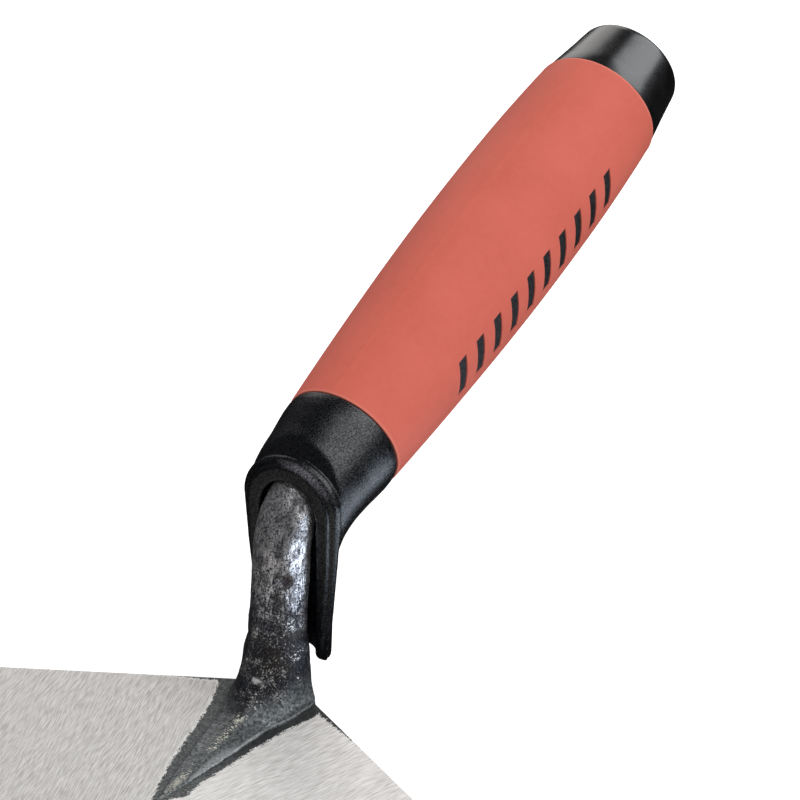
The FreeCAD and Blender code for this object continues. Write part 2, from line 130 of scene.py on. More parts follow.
def surface_net(field, low, high):
    """The zero surface of a field, as vertices and quads facing the field's positive side."""
    step = NET_STEP
    axes = [np.arange(a, b + step, step) for a, b in zip(low, high)]
    grid = np.meshgrid(*axes, indexing="ij")
    values = field(*grid)
    inside = values < 0
    cells = tuple(n - 1 for n in values.shape)
    total = np.zeros(cells + (3,))
    crossings = np.zeros(cells)
    corner = [slice(0, -1), slice(1, None)]
    for axis in range(3):
        others = [a for a in range(3) if a != axis]
        for i in (0, 1):
            for j in (0, 1):
                first, second = [None] * 3, [None] * 3
                first[axis], second[axis] = corner[0], corner[1]
                first[others[0]] = second[others[0]] = corner[i]
                first[others[1]] = second[others[1]] = corner[j]
                a, b = values[tuple(first)], values[tuple(second)]
                crossed = (a < 0) != (b < 0)
                share = np.where(crossed, a / np.where(crossed, a - b, 1.0), 0.0)
                total[..., axis] += np.where(crossed, share, 0.0)
                total[..., others[0]] += np.where(crossed, i, 0)
                total[..., others[1]] += np.where(crossed, j, 0)
                crossings += crossed
    used = crossings > 0
    number = -np.ones(cells, dtype=int)
    number[used] = np.arange(int(used.sum()))
    where = np.argwhere(used)
    points = (where + total[used] / crossings[used][:, None]) * step + np.asarray(low, dtype=float)

    faces = []
    for axis in range(3):
        one, two = [a for a in range(3) if a != axis]
        a = np.take(inside, range(values.shape[axis] - 1), axis=axis)
        b = np.take(inside, range(1, values.shape[axis]), axis=axis)
        for at in np.argwhere(a != b):
            if at[one] == 0 or at[two] == 0:
                continue
            if at[one] >= cells[one] or at[two] >= cells[two]:
                continue
            ring = []
            for back_one, back_two in ((1, 1), (0, 1), (0, 0), (1, 0)):
                cell = list(at)
                cell[one] -= back_one
                cell[two] -= back_two
                ring.append(number[tuple(cell)])
            outward = a[tuple(at)]
            if (axis == 1) == outward:
                ring.reverse()
            faces.append(ring)

    flattest, limit, share = 0.2, 0.4 * step, 0.8
    for _ in range(3):  # draws the vertices onto the surface itself
        slope = change_of(field, points) / (2 * REACH)
        size = np.maximum((slope**2).sum(axis=1), flattest)
        move = -field(*points.T)[:, None] * slope / size[:, None]
        length = np.linalg.norm(move, axis=1)
        move *= np.minimum(1.0, limit / np.maximum(length, 1e-9))[:, None]
        points = points + share * move
    return points, faces


def roughen(points, field, amount, sizes):
    """Moves points along their normals by smooth noise, as forging leaves a surface."""
    slope = change_of(field, points)
    slope /= np.maximum(np.linalg.norm(slope, axis=1), 1e-9)[:, None]
    lift = np.zeros(len(points))
    for size, share in sizes:
        lift += share * np.array([noise.noise(Vector(p / size)) for p in points])
    return points + slope * (amount * lift)[:, None]


# ---------- the shank's line
def in_plane(p, q):
    """A point or direction in the X-Z plane that the shank and the handle lie in."""
    return np.array([p, q], dtype=float)


RISING = in_plane(math.sin(SHANK_LEAN), math.cos(SHANK_LEAN))
HANDLEWARD = in_plane(math.cos(TILT), math.sin(TILT))
FOOT = in_plane(-SHANK_SETBACK, 0)
FRONT = in_plane(FRONT_X, FRONT_Z)
ENTRY = FRONT - HANDLEWARD * SHANK_ENTRY


def cross2(a, b):
    """The cross product of two vectors in the plane."""
    return a[0] * b[1] - a[1] * b[0]


def shank_bend():
    """Where the bend between the shank and the handle starts and ends, and its centre."""
    reach = cross2(ENTRY - FOOT, HANDLEWARD) / cross2(RISING, HANDLEWARD)
    corner = FOOT + RISING * reach
    turn = math.acos(float(RISING @ HANDLEWARD))
    back = BEND_RADIUS * math.tan(turn / 2)
    start, end = corner - RISING * back, corner + HANDLEWARD * back
    inward = HANDLEWARD - RISING
    inward /= np.linalg.norm(inward)
    centre = corner + inward * (BEND_RADIUS / math.cos(turn / 2))
    return start, end, centre


BEND_START, BEND_END, BEND_CENTRE = shank_bend()


def to_segment(x, z, a, b):
    """The distance in the plane from points to a segment."""
    line = b - a
    share = np.clip(((x - a[0]) * line[0] + (z - a[1]) * line[1]) / (line @ line), 0, 1)
    return np.hypot(x - a[0] - share * line[0], z - a[1] - share * line[1])


def handle_place(x, z):
    """How far points are before the grip's front along the handle, and above its axis."""
    dx, dz = x - FRONT_X, z - FRONT_Z
    return -(dx * HANDLEWARD[0] + dz * HANDLEWARD[1]), dx * -HANDLEWARD[1] + dz * HANDLEWARD[0]


def to_arc(x, z, centre, radius, start, end):
    """The distance in the plane from points to an arc, as far as its two ends."""
    dx, dz = x - centre[0], z - centre[1]
    a, b = start - centre, end - centre
    side = np.sign(cross2(a, b))
    within = (side * (a[0] * dz - a[1] * dx) >= 0) & (side * (dx * b[1] - dz * b[0]) >= 0)
    ends = np.minimum(np.hypot(x - start[0], z - start[1]), np.hypot(x - end[0], z - end[1]))
    return np.where(within, np.abs(np.hypot(dx, dz) - radius), ends)


def plate_top(x):
    """The blade's upper surface at x from the heel."""
    return HEEL_THICKNESS + (HEEL_THICKNESS - TIP_THICKNESS) * x / BLADE_LENGTH


# ---------- shank and bolster
# each pair is x from the heel, and the height above the plate or the half-width there
CREST = ([-62, -56, -50, -40, -33, -27, -24, -20.7, -18.3, -14.3, -10, 2],
         [-1.0, 0.0, 0.35, 0.8, 1.2, 1.7, 2.3, 3.4, 4.9, 7.7, 9.0, 9.5])
LEDGE_HALF_WIDTH = ([-58, -56, -44, -31, -17, -7, 0], [0, 0.3, 2.7, 4.9, 6.9, 9.5, 9.9])
LEDGE_HEIGHT = ([-62, -56, -44, -31, -17, -7, 2], [-1.0, -0.1, 0.3, 0.6, 1.0, 1.4, 1.5])


def bolster_line(x):
    """The bolster's centre line, as how far it is from the blade's own at x."""
    return np.minimum(x - BOLSTER_START, 0) * BOLSTER_DRIFT


def forging_field(x, y, z):
    """Negative inside the shank, its flared foot and the bolster."""
    path = np.minimum(to_segment(x, z, FOOT - RISING * 3, BEND_START),
                      to_arc(x, z, BEND_CENTRE, BEND_RADIUS, BEND_START, BEND_END))
    path = np.minimum(path, to_segment(x, z, BEND_END, ENTRY + HANDLEWARD * 14))
    past_step = np.clip((z - STEP_Z - 0.12 * y) * 4.0, -40, 40)
    step = STEP_RISE / (1 + np.exp(past_step))
    shank = np.hypot(path, y) - SHANK_RADIUS - step

    spread = np.clip(1 - z / FLARE_HEIGHT, 0, 1)
    front = SHANK_RADIUS + FLARE_FRONT * spread**2.2
    back = SHANK_RADIUS + FLARE_BACK * np.clip(spread * 2.2, 0, 1) ** 1.2
    wide = SHANK_RADIUS + FLARE_SIDE * spread**1.2
    rise = np.clip(z, 0, FLARE_HEIGHT)
    centre = -SHANK_SETBACK + rise * math.tan(SHANK_LEAN) + (back - front) / 2
    half = (front + back) / 2
    flare = (np.hypot((x - centre) / half, y / wide) - 1) * np.minimum(half, wide)
    flare = soft_max(flare, z - (FLARE_HEIGHT - 0.5), 2.0)
    body = soft_min(shank, flare, 3.0)

    half_width = np.interp(x, *LEDGE_HALF_WIDTH)
    across = np.abs(y - bolster_line(x))
    crest = np.interp(x, *CREST)
    ledge = np.interp(x, *LEDGE_HEIGHT)
    share = np.clip(across / np.maximum(half_width, 0.05), 0, 1)
    rounded = np.sqrt(share**2 + 0.008) - 0.09
    top = plate_top(x) + ledge + (crest - ledge) * (1 - np.clip(rounded, 0, 1)) ** 1.35
    wedge = (z - top) * 0.75  # the top slopes, so its distance is less than the height over it
    heel = x * math.sin(HEEL_HALF_ANGLE) + np.abs(y) * math.cos(HEEL_HALF_ANGLE) - 0.1
    wedge = soft_max(wedge, (across - half_width) * 0.9, 0.5)
    wedge = soft_max(wedge, heel, 0.5)
    body = soft_min(body, wedge, 2.2)
    return soft_max(body, 0.5 - z, 0.3)


def make_forging():
    """The shank, its foot and the bolster in one closed mesh, with a hammered surface."""
    low, high = (-59, -11.2, 0), (21, 11.2, 62)
    points, faces = surface_net(forging_field, low, high)
    hammering = ((5.0, 1.2), (2.2, 0.8), (0.9, 0.7))  # the size of each unevenness and its share
    points = roughen(points, forging_field, 0.10, hammering)
    return new_piece("forged_shank", points, faces, sharp=50, joined=False)


# ---------- blade
def blade_outline():
    """The blade's outline from the heel round by the +Y side to the tip, as points in mm."""
    shoulder = np.array([-SHOULDER_HALF_WIDTH / math.tan(HEEL_HALF_ANGLE), SHOULDER_HALF_WIDTH])
    tip = np.array([-BLADE_LENGTH, 0.0])
    chord = tip - shoulder
    length = np.linalg.norm(chord)
    outward = np.array([chord[1], -chord[0]]) / length
    if outward[1] < 0:
        outward = -outward
    middle = (shoulder + tip) / 2
    centre = middle - outward * math.sqrt(SIDE_RADIUS**2 - length**2 / 4)

    def gap_to_side(middle, radius):
        """How far a circle inside the side's arc is from touching it."""
        return abs(np.linalg.norm(middle - centre) + radius - SIDE_RADIUS)

    def onto_side(middle):
        return centre + (middle - centre) / np.linalg.norm(middle - centre) * SIDE_RADIUS

    # the shoulder's rounding touches the heel's line and the side's arc from inside
    heel_out = np.array([math.sin(HEEL_HALF_ANGLE), math.cos(HEEL_HALF_ANGLE)])
    corner = np.linalg.norm(shoulder)
    touches = [shoulder * (1 - step * 0.02 / corner) for step in range(4001)]
    inners = [touch - heel_out * SHOULDER_RADIUS for touch in touches]
    gaps = [gap_to_side(inner, SHOULDER_RADIUS) for inner in inners]
    touch, inner = touches[gaps.index(min(gaps))], inners[gaps.index(min(gaps))]
    leave = onto_side(inner)
    noses = [np.array([tip[0] + step * 0.01, 0.0]) for step in range(2001)]
    nose = min(noses, key=lambda middle: gap_to_side(middle, TIP_RADIUS))
    arrive = onto_side(nose)

    def arc(middle, radius, start, end, count):
        a = math.atan2(*(start - middle)[::-1])
        b = math.atan2(*(end - middle)[::-1])
        if b < a:
            b += 2 * math.pi
        return [middle + radius * np.array([math.cos(t), math.sin(t)])
                for t in np.linspace(a, b, count)]

    run = [touch * share for share in np.linspace(0, 1, 40)[:-1]]
    run += arc(inner, SHOULDER_RADIUS, touch, leave, 24)[:-1]
    run += arc(centre, SIDE_RADIUS, leave, arrive, 90)[:-1]
    run += arc(nose, TIP_RADIUS, arrive, np.array([nose[0] - TIP_RADIUS, 0.0]), 10)
    return np.array(run)


def make_blade():
    """The plate: rings up its rounded edge, then strips across its underside and its top."""
    half = blade_outline()
    other = half[1:-1][::-1] * np.array([1, -1])
    ring = np.vstack([half, other])
    count = len(ring)
    following = np.roll(ring, -1, axis=0) - ring
    leading = ring - np.roll(ring, 1, axis=0)
    tangent = following / np.linalg.norm(following, axis=1)[:, None]
    tangent += leading / np.linalg.norm(leading, axis=1)[:, None]
    tangent /= np.linalg.norm(tangent, axis=1)[:, None]
    inward = np.stack([-tangent[:, 1], tangent[:, 0]], axis=1)
    # each layer: how far in from the outline, and its height as a share and an offset in mm
    top = [(0.0, 1, -EDGE_TOUCH), (0.1, 1, -0.16), (0.3, 1, -0.03), (0.7, 1, 0.0), (1.6, 1, 0.0)]
    bottom = [(1.4, 0, 0.0), (0.5, 0, 0.0), (0.22, 0, 0.05), (0.06, 0, 0.2), (0.0, 0, EDGE_TOUCH)]
    points, faces, layers = [], [], []
    for inset, share, offset in bottom + top:
        flat = ring + inward * inset
        start = len(points)
        for x, y in flat:
            points.append((x, y, share * plate_top(x) + offset))
        layers.append(start)
    for low, high in zip(layers, layers[1:]):
        for i in range(count):
            j = (i + 1) % count
            faces.append((low + i, low + j, high + j, high + i))
    # the faces above and below are strips across the blade
    half_count = len(half)
    columns = 14
    for start, flip in ((layers[-1], False), (layers[0], True)):
        rows = []
        for i in range(half_count):
            left = start + i
            right = start + (count - i) % count
            if i in (0, half_count - 1):
                rows.append([left])
                continue
            a, b = np.array(points[left]), np.array(points[right])
            row = [left]
            for k in range(1, columns):
                row.append(len(points))
                points.append(tuple(a + (b - a) * k / columns))
            row.append(right)
            rows.append(row)
        for one, two in zip(rows, rows[1:]):
            for k in range(columns):
                quad = [one[min(k, len(one) - 1)], one[min(k + 1, len(one) - 1)],
                        two[min(k + 1, len(two) - 1)], two[min(k, len(two) - 1)]]
                face = list(dict.fromkeys(quad))
                if len(face) > 2:
                    faces.append(face if flip else face[::-1])
    return new_piece("blade_plate", points, faces, sharp=35)


# ---------- guard and collar
COLLAR = ([0, 0.5, 2, 4, 7, 10, 14, 24, 40, 62],
          [14.15, 14.3, 14.42, 14.35, 14.0, 13.6, 13.3, 12.3, 11.6, 10.8])
UPRIGHT_X = -4.5  # the tongue's own axis
GUARD_BEND = 23.5  # the radius of the bend from the collar down to the tongue
FACE_X = -1.0
FOOT_Z = 10.4
FOOT_STEP = ([13, 24], [FACE_X, 1.0])  # by height, how deep the step behind the band is, as x
BAND = ([10, 18, 27, 36, 47.4], [8.9, 9.1, 9.7, 10.4, 10.75])  # the flat band's half-width by height
BAND_TOP = 47.4
BEAD = ([10, 20, 27, 36.5, 48.3], [9.0, 9.2, 9.8, 10.7, 11.25])  # the bead's centre line
BEAD_TOP = 48.3
BEAD_FLAT = 1.11  # the bead's arch is lower than a half circle
BEAD_RADIUS = ([10, 14, 24, 40, 50], [0.7, 0.9, 1.1, 1.2, 1.45])
BEAD_X = 1.2
RIM_X, RIM_Z = 2.2, 47.0  # the collar's front slopes back behind RIM_X, above RIM_Z only
CHANNEL_X, CHANNEL_TOP = -3.9, 46.6
CHANNEL = ([14, 34], [7.6, 8.0])  # its radius by height
# the collar's round opening: how far below the handle's axis, and how far before the grip it ends
MOUTH_RADIUS, MOUTH_DROP, MOUTH_END = 7.25, 0.35, 8.0
STUB_RADIUS, STUB_HALF = 12.5, 3.0


def guard_path():
    """The guard's centre line: its straight length, its turn, and where the bend starts."""
    forward = -HANDLEWARD
    down = in_plane(0, -1)
    turn = math.acos(float(forward @ down))
    to_corner = (GRIP_FRONT[0] - UPRIGHT_X) / HANDLEWARD[0]
    straight = to_corner - GUARD_BEND * math.tan(turn / 2)
    start = FRONT + forward * straight
    centre = start + in_plane(HANDLEWARD[1], -HANDLEWARD[0]) * GUARD_BEND
    return straight, turn, start, centre


STRAIGHT, TURN, GUARD_START, GUARD_CENTRE = guard_path()


def blank_field(x, y, z):
    """The collar and tongue as one bent, tapering bar."""
    run, off = handle_place(x, z)
    # which part of the path a point belongs to
    cx, cz = x - GUARD_CENTRE[0], z - GUARD_CENTRE[1]
    radial = np.hypot(cx, cz)
    toward = np.arctan2(cz, cx)
    first = math.atan2(*(GUARD_START - GUARD_CENTRE)[::-1])
    angle = (toward - first + math.pi) % (2 * math.pi) - math.pi
    upright = z < GUARD_CENTRE[1]
    on_collar = (run <= STRAIGHT) & ~(upright & (x < GUARD_CENTRE[0]))
    down_tongue = STRAIGHT + GUARD_BEND * TURN + (GUARD_CENTRE[1] - z)
    round_bend = STRAIGHT + GUARD_BEND * np.clip(angle, 0, TURN)
    distance = np.where(on_collar, run, np.where(upright, down_tongue, round_bend))
    side = np.where(on_collar, np.abs(off),
                    np.where(upright, np.abs(x - UPRIGHT_X), np.abs(radial - GUARD_BEND)))
    radius = np.interp(distance, *COLLAR)
    return np.hypot(side, y) - radius


def arch(y, z, widths, top_z, flat=1.0):
    """Signed distance in the Y-Z plane from an arch: a half oval above, sloping sides below."""
    radius = widths[1][-1]
    above = np.hypot(y, (z - top_z) * flat) - radius
    beside = (np.abs(y) - np.interp(z, *widths)) * 0.995
    return np.where(z > top_z, above, beside)


def guard_field(x, y, z):
    """Negative inside the collar, the tongue with its band and bead, and the stub in the grip."""
    blank = blank_field(x, y, z)
    body = soft_max(blank, FACE_X - x, 0.5)
    outside = arch(y, z, BAND, BAND_TOP)
    floor_x = np.interp(z, *FOOT_STEP)
    step = soft_max(x - floor_x, -outside, 0.3)
    body = soft_max(body, -step, 0.35)
    line = arch(y, z, BEAD, BEAD_TOP, BEAD_FLAT)
    # the collar's front rim slopes back from the bead
    slope = 2.0 * np.maximum(x - RIM_X, 0.0) + 0.6 * np.maximum(RIM_Z - z, 0.0)
    body = soft_max(body, (line - 0.7 - slope) / 2.24, 0.6)
    bead = np.hypot(line, x - BEAD_X) - np.interp(z, *BEAD_RADIUS)
    body = soft_min(body, bead, 0.7)
    # the channel that clears the shank, and the mouth above it
    channel = np.hypot(x - CHANNEL_X, y) - np.interp(z, *CHANNEL)
    channel = soft_max(channel, z - CHANNEL_TOP, 0.4)
    run, off = handle_place(x, z)
    mouth = soft_max(np.hypot(off + MOUTH_DROP, y) - MOUTH_RADIUS, MOUTH_END - run, 0.4)
    body = soft_max(body, -soft_min(channel, mouth, 0.8), 0.7)
    body = soft_max(body, FOOT_Z - z, 2.2)
    body = soft_max(body, -run, 0.4)
    stub = soft_max(np.hypot(off, y) - STUB_RADIUS, np.abs(run) - STUB_HALF, 0.3)
    return np.minimum(body, stub)


def make_guard():
    """The core's visible front: the collar and the finger guard in one closed mesh."""
    points, faces = surface_net(guard_field, (-2.2, -15.6, 9.4), (28.4, 15.6, 71.4))
    return new_piece("core_guard", points, faces, sharp=60, joined=False)


# ---------- grip and cap, turned about the handle
GRIP = ([0, 0.35, 1, 5, 10, 20, 30, 40, 50, 60, 70, 80, 90, 100, 105, 110, 115, 118, 119.6, 120],
        [14.35, 14.55, 14.6, 14.88, 15.2, 15.8, 16.3, 16.75, 17.1, 17.34, 17.45, 17.45, 17.35,
         17.1, 16.9, 16.65, 16.38, 16.16, 16.05, 15.9])
CAP = [(118.5, 13.0), (119.6, 15.55), (120.0, 15.7), (120.6, 15.72), (124, 15.2), (130, 14.3),
       (135.6, 13.55), (136.5, 13.4), (137.1, 13.12), (137.45, 12.7), (137.6, 12.2),
       (137.6, 9.0), (137.5, 8.6), (137.5, 4.0), (137.5, 0.0)]
BARS, FIRST_BAR, BAR_PITCH = 10, 27.1, 7.5
BAR_WIDTH, BAR_HEIGHT, BAR_SLANT = 3.0, 8.4, math.tan(math.radians(20))
BAR_CENTRES = [FIRST_BAR + BAR_PITCH * k for k in range(BARS)]
BAR_SINK = 0.18  # how far the bars' faces are below the rubber
WINDOW_DEPTH = 0.9
BELLY = 16.9  # the radius that turns a rise up the grip's side into an angle
LEAN_FADE = (6.5, 16.0)  # up and down from the row, the mesh stops leaning with the bars
LEAN_START, LEAN_END = (4, 20), (110, 117)
SEAM_RISE, SEAM_WIDTH = 0.07, 0.2
TURNS = 96


def on_handle(run, radius, angle):
    """A point at a distance along the handle, at an angle from its top towards -Y."""
    out = ABOVE * math.cos(angle) + np.array([0.0, -1.0, 0.0]) * math.sin(angle)
    return GRIP_FRONT + ALONG * run + out * radius


def smooth_step(low, high, value):
    """From 0 to 1 between two values, level at both ends."""
    share = min(max((value - low) / (high - low), 0.0), 1.0)
    return share * share * (3 - 2 * share)


def sheared(run, rise):
    """A distance along the grip, leaned with the bars where the row of bars is."""
    hold = 1 - smooth_step(*LEAN_FADE, abs(rise))
    ends = smooth_step(*LEAN_START, run) * (1 - smooth_step(*LEAN_END, run))
    return run + BAR_SLANT * rise * hold * ends


def grip_radius(run):
    return float(np.interp(run, *GRIP_CURVE))


def smooth_curve(xs, ys, count):
    """A smooth line through a few stations, sampled finely."""
    xs, ys = np.asarray(xs, float), np.asarray(ys, float)
    slopes = np.gradient(ys, xs)
    at = np.linspace(xs[0], xs[-1], count)
    index = np.clip(np.searchsorted(xs, at) - 1, 0, len(xs) - 2)
    width = xs[index + 1] - xs[index]
    t = (at - xs[index]) / width
    a = ys[index] * (2 * t**3 - 3 * t**2 + 1) + ys[index + 1] * (3 * t**2 - 2 * t**3)
    b = slopes[index] * (t**3 - 2 * t**2 + t) + slopes[index + 1] * (t**3 - t**2)
    return at, a + b * width


GRIP_CURVE = smooth_curve(*GRIP, 1201)


def grip_runs():
    """The stations of the grip's mesh along the handle, close together round each window."""
    runs = [0, 0.12, 0.35, 0.7, 1.2, 2.2, 4, 7, 11, 15, 18, 21, 23.5]
    for centre in BAR_CENTRES:
        for side in (-1, 1):
            for out in (0.0, 0.07, 0.2):
                runs.append(centre + side * (BAR_WIDTH / 2 + out))
        runs += [centre, centre + BAR_PITCH / 2 - 0.9, centre + BAR_PITCH / 2 + 0.9]
    runs += [102, 105, 108, 110, 112, 114, 116, 117.5, 118.6, 119.3, 119.65, 119.88, 120]
    return sorted(set(round(run, 4) for run in runs))


def grip_angles():
    """The angles of the grip's mesh, close together at the windows and the two mould seams."""
    heights = [s * (BAR_HEIGHT / 2 + o) for s in (-1, 1) for o in (0.0, 0.07, 0.2, 1.0)]
    heights += [-3.2, -1.6, 0, 1.6, 3.2]
    angles = [math.pi / 2 - h / BELLY for h in heights]
    seam = [s * w / BELLY for s in (-1, 1) for w in (0.14, 0.3, 0.7)]
    angles += [0.0, math.pi] + seam + [math.pi + a for a in seam]
    for i in range(TURNS):
        angle = 2 * math.pi * i / TURNS
        nearest = min(abs((angle - a + math.pi) % (2 * math.pi) - math.pi) for a in angles)
        if nearest > 0.035:
            angles.append(angle)
    return sorted(a % (2 * math.pi) for a in angles)


def grip_point(run, angle):
    """A point on the grip, sunk where there is a window and raised a little at a seam."""
    rise = (math.pi / 2 - angle) * BELLY
    at = sheared(run, rise)
    radius = grip_radius(at)
    nearest = min(abs(run - centre) for centre in BAR_CENTRES)
    if nearest < BAR_WIDTH / 2 + 0.03 and abs(rise) < BAR_HEIGHT / 2 + 0.03:
        radius -= WINDOW_DEPTH
    from_top = abs((angle + math.pi) % (2 * math.pi) - math.pi)
    seam_off = min(from_top, abs(angle - math.pi)) * BELLY
    if 0.3 < run < GRIP_LENGTH - 0.5:
        radius += SEAM_RISE * math.exp(-(seam_off / SEAM_WIDTH) ** 2)
    return on_handle(at, radius, angle)


def join_rings(rings):
    """Quads between each two rings that follow each other."""
    faces = []
    for one, two in zip(rings, rings[1:]):
        for i in range(len(one)):
            j = (i + 1) % len(one)
            faces.append((one[i], one[j], two[j], two[i]))
    return faces


def make_grip():
    """The sleeve: its outside, then its bore, closed back onto its first ring."""
    angles = grip_angles()
    rings = [[grip_point(run, angle) for angle in angles] for run in grip_runs()]
    for run in (GRIP_LENGTH, 0):
        rings.append([on_handle(run, SLEEVE_BORE, angle) for angle in angles])
    count = len(angles)
    rows = [range(count * k, count * (k + 1)) for k in range(len(rings))]
    points = [point for ring in rings for point in ring]
    return new_piece("rubber_grip", points, join_rings(rows + rows[:1]), sharp=32)


def make_bars():
    """The core's bars, which show through the grip's windows."""
    half_w, half_h = BAR_WIDTH / 2 - 0.02, BAR_HEIGHT / 2 - 0.02
    layers = [(0.0, 1.1), (0.0, 0.3), (0.1, 0.2), (0.3, BAR_SINK)]  # inset and depth
    steps = 8
    points, faces = [], []

    def add(run, rise, depth):
        at = sheared(run, rise)
        points.append(on_handle(at, grip_radius(at) - depth, math.pi / 2 - rise / BELLY))
        return len(points) - 1

    for centre in BAR_CENTRES:
        rings = []
        for inset, depth in layers:
            w, h = half_w - inset, half_h - inset
            border = [(-w, -h + 2 * h * i / steps) for i in range(steps)]
            border += [(-w, h), (0.0, h)]
            border += [(w, h - 2 * h * i / steps) for i in range(steps)]
            border += [(w, -h), (0.0, -h)]
            rings.append([add(centre + off, rise, depth) for off, rise in border])
        faces += join_rings(rings)
        # the face on top is two strips, on either side of a column up its middle
        top = rings[-1]
        left = top[:steps + 1]
        right = [top[(2 * steps + 2) - i] for i in range(steps + 1)]
        half = half_h - layers[-1][0]
        rises = [-half + 2 * half * i / steps for i in range(1, steps)]
        column = [top[-1]] + [add(centre, rise, BAR_SINK) for rise in rises] + [top[steps + 1]]
        for a, b in ((left, column), (column, right)):
            for i in range(steps):
                faces.append((a[i], a[i + 1], b[i + 1], b[i]))
        faces.append(tuple(rings[0][::-1]))
    return new_piece("core_bars", points, faces, sharp=40)


def make_cap():
    """The cap's profile turned about the handle. It is closed at its front and at its butt."""
    profile = [(CAP[0][0], 0.0)] + CAP
    points, rows = [], []
    for run, radius in profile:
        if radius == 0:
            rows.append([len(points)] * TURNS)
            points.append(on_handle(run, 0, 0))
            continue
        rows.append(range(len(points), len(points) + TURNS))
        points += [on_handle(run, radius, 2 * math.pi * i / TURNS) for i in range(TURNS)]
    faces = [list(dict.fromkeys(face)) for face in join_rings(rows)]
    return new_piece("end_cap", points, faces, sharp=40)


# ---------- materials
COLOUR_A, COLOUR_B, COLOUR_OUT = 6, 7, 2  # a Mix node's sockets when it mixes colours
FLOAT_A, FLOAT_B = 2, 3
WHITE = (1, 1, 1, 1)


class Nodes:
    """A small helper that builds a material's node tree."""

    def __init__(self, name):
        self.material = bpy.data.materials.new(name)
        self.material.use_nodes = True
        self.tree = self.material.node_tree
        self.shader = self.tree.nodes["Principled BSDF"]

    def node(self, kind, inputs=None, **settings):
        made = self.tree.nodes.new(f"ShaderNode{kind}")
        for key, value in settings.items():
            setattr(made, key, value)
        for key, value in (inputs or {}).items():
            self.put(made.inputs[key], value)
        return made

    def put(self, socket, value):
        if isinstance(value, bpy.types.NodeSocket):
            self.tree.links.new(value, socket)
        else:
            socket.default_value = value

    def maths(self, operation, a, b=None, c=None):
        made = self.node("Math", operation=operation)
        for i, value in enumerate((a, b, c)):
            if value is not None:
                self.put(made.inputs[i], value)
        return made.outputs[0]

    def plus(self, a, b):
        return self.maths("ADD", a, b)

    def minus(self, a, b):
        return self.maths("SUBTRACT", a, b)

    def times(self, a, b):
        return self.maths("MULTIPLY", a, b)

    def times_plus(self, a, b, c):
        return self.maths("MULTIPLY_ADD", a, b, c)

    def absolute(self, value):
        return self.maths("ABSOLUTE", value)

    def place(self):
        """The position on the piece, in mm, as three numbers."""
        coordinates = self.node("TexCoord").outputs["Object"]
        split = self.node("SeparateXYZ", {0: coordinates})
        return [self.times(split.outputs[i], 1 / MM) for i in range(3)]

    def join(self, x, y, z):
        return self.node("CombineXYZ", {0: x, 1: y, 2: z}).outputs[0]

    def noise(self, vector, scale, detail=2.0, roughness=0.5):
        made = self.node("TexNoise", {"Vector": vector, "Scale": scale, "Detail": detail,
                                      "Roughness": roughness})
        return made.outputs["Fac"]

    def stretched(self, x, y, z, detail=3, roughness=0.6):
        """Noise of scale 1 over coordinates that are already scaled."""
        return self.noise(self.join(x, y, z), 1.0, detail, roughness)

    def ramp(self, value, low, high, low_out=0.0, high_out=1.0, smooth=False):
        made = self.node("MapRange", {"Value": value, "From Min": low, "From Max": high,
                                      "To Min": low_out, "To Max": high_out}, clamp=True)
        if smooth:
            made.interpolation_type = "SMOOTHSTEP"
        return made.outputs[0]

    def colour(self, share, first, second):
        made = self.node("Mix", data_type="RGBA")
        self.put(made.inputs["Factor"], share)
        for index, value in ((COLOUR_A, first), (COLOUR_B, second)):
            self.put(made.inputs[index], value if isinstance(value, bpy.types.NodeSocket) else (*value, 1))
        return made.outputs[COLOUR_OUT]

    def mix(self, share, first, second):
        made = self.node("Mix", data_type="FLOAT")
        self.put(made.inputs[0], share)
        self.put(made.inputs[FLOAT_A], first)
        self.put(made.inputs[FLOAT_B], second)
        return made.outputs[0]

    def distance(self, vector, point):
        made = self.node("VectorMath", {0: vector, 1: point}, operation="DISTANCE")
        return made.outputs["Value"]

    def bump(self, height, distance, strength):
        made = self.node("Bump", {"Height": height, "Distance": distance, "Strength": strength})
        return made.outputs[0]

    def set(self, **values):
        for key, value in values.items():
            self.put(self.shader.inputs[key.replace("_", " ")], value)


